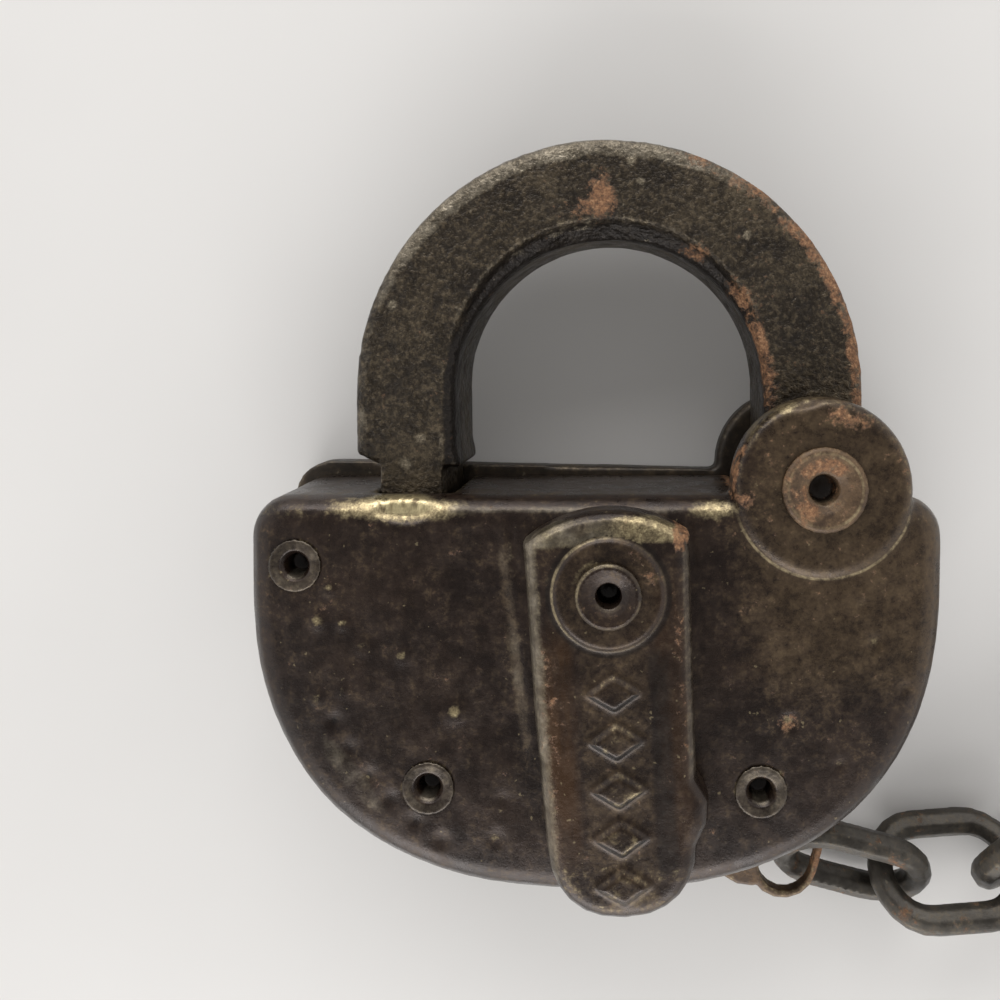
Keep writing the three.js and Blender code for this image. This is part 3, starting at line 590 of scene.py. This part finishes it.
def shape_front(skin):
    co = skin.co
    face = ease(16.5, 18.2, co[:, 2])
    depth = 0.09 * layered(co, 14, 3, 2) + 0.05 * layered(co, 4, 5, 3)
    for x, y, radius, deep in DINGS:
        depth = depth - face * 0.7 * deep * spot(co, x, y, radius)
    # Step that the swinging drop has left beside it, and the line round its head
    u, v = turned(co, DROP_PIN, DROP_LEAN)
    u = u + 0.07 * (v + 4)
    along = band(v, -16.5, 5.0, 3.5) * face
    flank = ease(-9.0, -10.5, u + 0.25 * layered(co, 5, 9, 2))
    depth = depth - 0.30 * along * flank * (1 - ease(-11.5, -21, u))
    groove = band(np.abs(u), 8.5, 8.95, 0.22) * band(v, 1.0, 6.3, 0.8) * face
    depth = depth - 0.12 * groove
    fall = fall_of_face(co)
    # Nicks across the bruise on the top edge
    x, z = co[:, 0], co[:, 2]
    bruise = patch(co, -19.4, 19.2, 3.8, 1.5, -4, 0.5) * ease(15.5, 17, z)
    depth = depth - 0.1 * bruise * np.abs(np.sin(x * 2.6 + 1.5 * layered(co, 3, 11, 2)))
    for x, y, radius, strength in BUMPS:
        depth = depth + face * 0.16 * strength * spot(co, x, y, 1.2 * radius, 0.7)
    skin.push(depth)
    skin.co[:, 2] -= fall

    co = skin.co
    x, y, z = co.T
    far, turn = about(co, HINGE)
    upper = ease(15.5, 17.5, z)
    top_side = ease(16, 17.6, z)
    ear = (1 - ease(8.6, 8.9, far)) * ease(17.5, 18.4, z)
    rim = band(far, 8.45, 9.1, 0.2) * ease(15.5, 16.5, z)
    strip = band(u, -10.6, -9.1, 0.35) * along
    beside_drop = band(x, -14, 9, 1.0)
    tint = most(0.58 * ease(6, 20, x) * ease(-8, 6, y), 0.32 * ear, 0.5 * strip)
    wear_and_highlight = most(
        # Worn strip beside the drop, with painted sheen on its flank and a painted highlight line
        # on its edge
        (0.34 + 0.2 * layered(co, 1.6, 17, 3)) * strip,
        0.5 * band(u, -9.1, -8.8, 0.15) * along * ease(-1, 3, v),
        0.95 * patch(co, -19.3, 18.9, 6.6, 1.1, -1, 0.6) * upper,
        0.85 * patch(co, 11.8, 18.9, 2.4, 0.8, 4, 0.6) * upper,
        # Painted sheen along the top edge, over its wear
        0.45 * band(y, 18.5, 19.2, 0.25) * top_side * beside_drop,
        0.3 * band(y, 17.9, 19.4, 0.5) * top_side * (1 - ease(-29, -25, x)),
        0.45 * rim * band(turn, 92, 150, 10),
        0.7 * patch(co, 18.8, 28.9, 1.1, 0.5, 25, 0.6) * upper,
        (0.4 + 0.3 * layered(co, 1.5, 19, 3)) * patch(co, *SCAR, 5.6, 1.2, SCAR_TURN, 0.5)
        * ease(15.0, 16.5, z),
        0.25 * (1 - ease(15.5, 17.6, z)) * ease(12, 15, z))
    # Painted highlights on the upper left of the dents and bumps
    for px, py, radius, deep in DINGS:
        shine = spot(co, px - 0.15 * radius, py + 0.2 * radius, 0.6 * radius)
        wear_and_highlight = np.maximum(wear_and_highlight, 3.0 * deep * shine * face)
    for px, py, radius, strength in BUMPS:
        shine = spot(co, px - 0.2 * radius, py + 0.25 * radius, 0.65 * radius)
        wear_and_highlight = np.maximum(wear_and_highlight, 0.95 * strength * shine * face)
    flaked = ease(0.2, 0.9, np.abs(layered(co, 2, 15, 2)) + 0.5)
    rust = most(
        0.45 * patch(co, 19.0, -1.8, 1.1, 0.9, 0) * face,
        0.9 * rim * band(turn, 150, 192, 8) * flaked,
        0.7 * patch(co, 14.7, 19.9, 0.9, 0.8, 0),
        0.6 * patch(co, 24.9, 27.9, 2.8, 1.1, -14),
        0.35 * patch(co, 31.0, 24.5, 2.0, 3.0, 0) * ease(15, 17, z),
        0.12 * tint)
    finish_layers(
        skin, 0.04, 0.5, rust, tint, wear_and_highlight,
        calm=0.6 * ear * (far < 8.3),
        # Painted highlight line along the lower rim of the ear
        highlight_line=ease(17.0, 17.8, z) * band(turn, 205, 345, 15),
        # Greyer tone for the scar, and for the painted sheen on the strip and along the top edge
        plain=most(strip, band(y, 18.4, 19.3, 0.3) * beside_drop,
                   patch(co, *SCAR, 7.0, 2.2, SCAR_TURN, 0.5)),
        gouge=patch(co, -19.4, 19.3, 3.2, 0.95, -3, 0.25) * ease(15.5, 17, z))


def shape_back(skin):
    skin.push(0.08 * layered(skin.co, 12, 21, 2) + 0.04 * layered(skin.co, 3, 25, 3))
    co = skin.co
    rust = 0.3 * ease(0.1, 0.7, layered(co, 9, 27, 3)) * (1 - ease(2.0, 3.0, co[:, 2]))
    finish_layers(skin, 0.06, 0.45, rust, 0.25 + 0.4 * layered(co, 8, 29, 2))


# Where the inner rim of the bow lies, and where its outer edge starts and is full
BOW_INNER = (16.9, 17.5)
BOW_OUTER = (24.6, 25.0)
# Edge and depth of the hollow worn into the arch
INNER_LIP = 17.0
SCOOP_DEPTH = 1.4
# Rust on the upper face: strength, place, half sizes, turn, softness
BOW_RUST = (
    (0.85, 0.6, 50.2, 2.2, 1.4, 90, 0.7), (0.6, -1.2, 49.2, 2.0, 1.2, 10, 0.7),
    (0.7, 10.2, 43.9, 1.2, 1.9, -40, 0.6), (0.75, 14.2, 40.0, 1.5, 2.2, 35, 0.6),
    (0.7, 16.5, 35.8, 1.1, 3.4, 14, 0.6), (0.6, 17.8, 31.0, 0.9, 3.2, 4, 0.6),
)
# Bright nicks, the last two being painted highlights on the facets of the toe: strength, place,
# radius
BOW_NICKS = (
    (0.8, 3.6, 54.0, 0.5), (0.8, 4.6, 51.9, 0.45), (0.8, 15.5, 46.3, 0.5),
    (0.8, -20.9, 39.2, 0.5), (0.7, -19.6, 22.9, 0.7), (0.6, -18.0, 25.5, 0.6),
)


# Distance from the middle line of the bow, round its arch and straight down its limbs
def bow_reach(co):
    dx, dy = co[:, 0] - BOW[0], co[:, 1] - BOW[1]
    return np.where(dy > 0, np.hypot(dx, dy), np.abs(dx))


def shape_shackle(skin):
    co = skin.co
    pits = np.minimum(0, layered(co, 1.4, 33, 3) + 0.2)
    grit = 0.05 * layered(co, 0.7, 34, 2) * ease(17.4, 18.2, bow_reach(co))
    skin.push(0.05 * layered(co, 9, 31, 2) + 0.16 * pits + 0.05 * layered(co, 2.4, 35, 2) + grit)
    # Hollow worn into the inner edge of the arch
    co = skin.co
    turn = about(co, BOW)[1]
    lip = INNER_LIP + 0.6 * band(turn, 50, 135, 25)
    inside = 1 - ease(lip - 0.35, lip + 0.35, bow_reach(co))
    scoop = band(turn, 30, 160, 12) * inside * ease(11.5, 13.5, co[:, 2])
    co[:, 2] -= SCOOP_DEPTH * scoop

    x, z = co[:, 0], co[:, 2]
    reach = bow_reach(co) + 0.25 * layered(co, 1.2, 38, 2)
    top = ease(12.6, 13.6, z)
    # Outer edge, widened over the top of the arch for a painted highlight
    outer = ease(*BOW_OUTER, reach + 0.6 * band(turn, 60, 150, 20)) * top
    inner = band(reach, *BOW_INNER, 0.15) * top
    right = np.clip(band(turn, -30, 74, 8) + (turn > 330), 0, 1)
    lump = ease(-0.1, 0.45, layered(co, 3.4, 39, 2) + 0.1)
    rust = most(
        (0.45 + 0.35 * lump) * ease(24.3, 25.0, reach) * right * ease(9, 13, z),
        0.1 * ease(8, 16, x),
        *(strength * patch(co, *place) * top for strength, *place in BOW_RUST))
    wear_and_highlight = most(
        # Worn outer edge, with a painted highlight added over the top of the arch
        outer * (0.32 + 0.34 * band(turn, 62, 150, 20) + 0.25 * layered(co, 1.8, 46, 3)),
        0.5 * inner * ease(-0.3, 0.4, layered(co, 2.2, 45, 2)) * band(turn, 70, 205, 10),
        *(strength * spot(co, *place) * top for strength, *place in BOW_NICKS))
    dirt_and_shade = most(
        # Darker in the worn hollow, and painted shade down the inner wall of the bow
        0.9 * scoop,
        0.85 * (1 - ease(16.7, 17.1, reach)) * ease(11, 12, z),
        0.5 * ease(-0.05, -0.3, layered(co, 1.4, 33, 3)))
    tint = 0.3 + 0.35 * layered(co, 7, 37, 2)
    finish_layers(skin, 0.05, 0.35, rust, tint, wear_and_highlight, dirt_and_shade, plain=0.5 * outer)


# Half width of the drop at its shoulder, which narrows towards the foot
DROP_HALF, DROP_TAPER, DROP_SHOULDER = 7.9, 0.021, 7.6
# Heights that the drop's flat face and its raised ornament start to show at
DROP_FACE = (21.8, 22.4)
ORNAMENT_TOP = (22.62, 22.85)


# u and v lie across and along the drop, from its pin
def shape_drop(skin):
    u, v = turned(skin.co, DROP_PIN, DROP_LEAN)
    skin.push(0.04 * layered(skin.co, 5, 41, 3))
    co = skin.co
    below_ring = ease(-5, -7, v)
    worn = band(u, -4.4, 4.4, 0.5) * below_ring * ease(21.5, 22.3, co[:, 2])
    co[:, 2] += worn * (skin.blurred(co[:, 2], 4) - co[:, 2])

    z = co[:, 2]
    far, turn = about(co, DROP_PIN)
    north = skin.normals()[:, 1]
    half = DROP_HALF - DROP_TAPER * (DROP_SHOULDER - v)
    side = np.abs(u) - half + 0.12 * layered(co, 2, 47, 2)
    bevel = np.where(u < 0, ease(-1.9, -0.8, side), ease(-1.1, -0.7, side)) * ease(-28, -26, v)
    top = ease(*DROP_FACE, z)
    rust = most(
        0.8 * patch(co, 8.27, 17.3, 0.9, 1.5, -15, 0.5),
        0.32 * band(u, 5.8, 6.9, 0.5) * band(v, -16, 0, 3),
        0.3 * band(u, -6.8, -5.2, 0.6) * band(v, -22, -4, 3),
        0.3 * band(far, 3.6, 5.0, 0.5) * band(turn, 10, 75, 15))
    wear_and_highlight = most(
        # Painted highlights on the bevels, stronger on the left, and worn metal with painted
        # sheen on the band near the top
        0.6 * bevel * (u < 0),
        0.4 * bevel * (u > 0) * ease(-20, -17, v),
        0.8 * band(v, 4.5, 7.1, 0.4) * band(u, -7.0, 7.2, 0.6) * (far > 5.4) * ease(20, 21, z)
        * ease(-1.0, 0.25, layered(co, 2.5, 49, 2)),
        # Painted highlight on the upper left of the ring's inner edge
        0.5 * band(far, 3.1, 3.7, 0.25) * band(turn, 105, 165, 20),
        0.5 * ease(*ORNAMENT_TOP, z) * ease(-6, -7, v) * ease(-0.1, 0.5, layered(co, 1.8, 43, 2)),
        # Painted highlight on the ornament's slopes that face up
        0.4 * ease(0.25, 0.7, north) * ease(22.45, 22.6, z) * (v < -6) * (v > -31),
        0.5 * patch(co, -4.5, -9.2, 0.7, 1.6, 10, 0.6) * top,
        0.2 * band(v, -31, -24.5, 1.0) * top)
    amber = most(
        0.9 * band(u, -6.9, -3.8, 0.8) * band(v, -24, -4, 3),
        0.45 * band(u, 4.0, 6.8, 0.8) * band(v, -24, 0, 3))
    tint = most(
        0.2 * band(u, -7, -3.5, 1.0) * ease(-3, -6, v),
        0.42 * band(u, -3.4, 3.6, 0.6) * top,
        0.45 * band(far, 3.1, 5.0, 0.3),
        0.25)
    # Painted shade on the ornament's slopes that face down
    shade_under_slopes = (ease(-0.15, -0.6, north) * band(z, 22.4, 23.1, 0.1)
             * ease(-5, -6, v) * ease(-27, -25, v))
    dirt_and_shade = most(
        0.85 * shade_under_slopes,
        0.55 * band(u, 3.2, 5.4, 0.6) * band(v, -27, -5, 2) * top,
        0.6 * band(far, 5.3, 6.0, 0.2) * top)
    finish_layers(
        skin, 0.025, 0.5, rust, tint, wear_and_highlight, dirt_and_shade,
        calm=0.75 * band(u, -4.2, 4.2, 0.4) * below_ring + 0.8 * (far < 6),
        # Painted highlight line round the ring, strongest on its left half
        highlight_line=(0.12 + 0.88 * band(turn, 95, 220, 30)) * top,
        # Greyer tone for the painted sheen on the bevels and the band near the top
        plain=most(0.9 * bevel, 0.8 * band(v, 4.5, 7.2, 0.4) * ease(2, -1, u)),
        amber=amber)


def shape_drop_rivet(skin):
    skin.push(0.015 * layered(skin.co, 1.5, 51, 3))
    far, turn = about(skin.co, DROP_PIN)
    wear_and_highlight = most(
        0.2 * band(far, 2.7, 3.2, 0.12),
        # Painted highlight on the lower wall of the hole
        0.35 * band(far, 1.1, 1.6, 0.15) * band(turn, 200, 340, 20))
    # Painted shade down the hole
    bore_shade = 0.95 * (1 - ease(0.9, 1.2, far))
    # Painted highlight line round the head, strongest on its upper left
    highlight_line = 0.2 + 0.8 * band(turn, 80, 190, 40)
    finish_layers(skin, 0.018, 0.1, 0.0, 0.1, wear_and_highlight, bore_shade, highlight_line=highlight_line, plain=0.8)


RIVETS = {
    "upper_left": (-29.4, 13.4),
    "lower_left": (-16.3, -8.4),
    "lower_right": (16.3, -8.6),
}


def rivet_shape(at):
    def shape(skin):
        skin.push(0.015 * layered(skin.co, 1.5, 53, 3))
        far, turn = about(skin.co, at)
        up = ease(17.9, 18.3, skin.co[:, 2])
        wear_and_highlight = most(
            0.42 * band(far, 1.5, 2.75, 0.2) * up,
            # Painted highlights on the upper arc of the head and on the lower wall of the hole
            0.6 * band(far, 2.5, 2.75, 0.08) * band(turn, 20, 150, 20) * up,
            0.6 * band(far, 0.9, 1.4, 0.12) * band(turn, 225, 315, 15))
        # Painted shade down the hole
        bore_shade = 0.95 * (1 - ease(0.95, 1.2, far))
        finish_layers(skin, 0.018, 0.1, 0.0, 0.3, wear_and_highlight, bore_shade, plain=1.0)
    return shape


def shape_hinge_rivet(skin):
    skin.push(0.03 * layered(skin.co, 1.6, 61, 3))
    far, turn = about(skin.co, HINGE)
    rust = most(
        0.75 * band(far, 1.7, 3.2, 0.3) * band(turn, 40, 150, 18),
        0.55 * band(far, 1.7, 3.4, 0.3) * band(turn, 165, 260, 18),
        0.25 * band(far, 1.0, 3.6, 0.3),
        0.4 * (far > 3.2) * band(turn, 120, 250, 20))
    wear_and_highlight = most(
        0.22 * band(far, 3.7, 4.2, 0.15),
        # Painted highlight on the lower wall of the hole
        0.4 * band(far, 1.2, 1.8, 0.2) * band(turn, 220, 320, 20))
    # Painted shade down the hole
    bore_shade = 0.95 * (1 - ease(1.25, 1.55, far))
    # Painted highlight line round the head, strongest on its right side
    highlight_line = 0.35 + 0.5 * ((turn < 70) | (turn > 300))
    finish_layers(skin, 0.022, 0.15, rust, 0.4, wear_and_highlight, bore_shade, highlight_line=highlight_line, plain=0.5)


def shape_lug(skin):
    skin.push(0.035 * layered(skin.co, 1.6, 65, 3))
    co = skin.co
    rust = 0.2 + 0.6 * ease(22.5, 25.5, co[:, 0]) + 0.25 * layered(co, 3, 63, 3)
    finish_layers(skin, 0.022, 0.5, rust, 0.3)


def shape_link(skin):
    skin.push(0.03 * layered(skin.co, 2.4, 71, 3))
    rust = 0.12 + 0.55 * layered(skin.co, 4, 73, 3)
    finish_layers(skin, 0.03, 0.5, rust, 0.25)


# Node, slot, voxel size, rounds of smoothing, shape
dress("front_case", "case_metal", 0.38, 3, shape_front)
dress("back_case", "back_metal", 0.42, 3, shape_back)
dress("shackle", "shackle_metal", 0.3, 3, shape_shackle)
dress("key_drop", "case_metal", 0.2, 3, shape_drop)
dress("drop_rivet", "case_metal", 0.12, 2, shape_drop_rivet)
for corner, at in RIVETS.items():
    dress("rivet_" + corner, "case_metal", 0.14, 2, rivet_shape(at))
dress("shackle_rivet", "rusty_iron", 0.16, 2, shape_hinge_rivet)
dress("chain_lug", "rusty_iron", 0.18, 2, shape_lug)
for k in range(1, 6):
    dress("chain_link_%d" % k, "chain_steel", 0.24, 3, shape_link)

# Pieces of the works, which keep their solids
WORKS = {
    "works_brass": ("bolt", "ward_ring"),
    "works_steel": ("bolt_pivot", "bolt_spring", "spring_post", "key_post"),
}
for slot, nodes in WORKS.items():
    for node in nodes:
        for place in frame["nodes"][node].material_slots:
            place.material = materials[slot]


# Table and light

TABLE_HALF_METRES = 3.0
TABLE_DROP = 0.2
TABLE_ROUGH = 0.28
TABLE_COLOURS = (srgb(210, 208, 206), srgb(214, 212, 210))


def make_table():
    mesh = bpy.data.meshes.new("table")
    half = TABLE_HALF_METRES
    corners = [(-half, -half, 0), (half, -half, 0), (half, half, 0), (-half, half, 0)]
    mesh.from_pydata(corners, [], [(0, 1, 2, 3)])
    obj = bpy.data.objects.new("table", mesh)
    obj.location = (0, 0, -TABLE_DROP * MM)
    scene.collection.objects.link(obj)
    p = Paint("table_finish")
    cloud = p.noise(60, 4, 0.5)
    colour = p.mix(p.span(cloud, 0.3, 0.7), *TABLE_COLOURS)
    mesh.materials.append(p.finish(colour, TABLE_ROUGH, 0.0, p.noise(5, 3, 0.5), 0.01))


# Soft windows: place, point aimed at and size, all in metres, and power in watts
WINDOWS = {
    "window_far": ((-0.15, 0.8, 0.42), (0, 0, 0), (0.9, 0.35), 4.5),
    "window_near": ((-0.1, -0.8, 0.45), (0, -0.06, 0), (0.9, 0.35), 5.0),
}
# The world fades from its strength at the horizon to a darker one overhead
WORLD_COLOUR = (1.0, 0.99, 0.975, 1)
WORLD_HORIZON, WORLD_HORIZON_STRENGTH = 0.5, 1.2
WORLD_OVERHEAD, WORLD_OVERHEAD_STRENGTH = 0.96, 0.27


def make_window(name, place, aim, size, power):
    data = bpy.data.lights.new(name, "AREA")
    data.shape = "RECTANGLE"
    data.size, data.size_y = size
    data.energy = power
    obj = bpy.data.objects.new(name, data)
    obj.location = place
    look = np.array(aim) - np.array(place)
    obj.rotation_euler = Vector(look).to_track_quat("-Z", "Y").to_euler()
    scene.collection.objects.link(obj)


def make_world():
    world = bpy.data.worlds.new("studio")
    scene.world = world
    world.use_nodes = True
    tree = world.node_tree
    back = tree.nodes["Background"]
    sky = tree.nodes.new("ShaderNodeTexCoord")
    split = tree.nodes.new("ShaderNodeSeparateXYZ")
    tree.links.new(sky.outputs["Generated"], split.inputs[0])
    fade = tree.nodes.new("ShaderNodeMapRange")
    fade.interpolation_type = "SMOOTHSTEP"
    fade.inputs["From Min"].default_value = WORLD_HORIZON
    fade.inputs["From Max"].default_value = WORLD_OVERHEAD
    fade.inputs["To Min"].default_value = WORLD_HORIZON_STRENGTH
    fade.inputs["To Max"].default_value = WORLD_OVERHEAD_STRENGTH
    tree.links.new(split.outputs["Z"], fade.inputs["Value"])
    tree.links.new(fade.outputs[0], back.inputs["Strength"])
    back.inputs["Color"].default_value = WORLD_COLOUR


make_table()
make_world()
for name, facts in WINDOWS.items():
    make_window(name, *facts)

scene.view_settings.view_transform = "Standard"
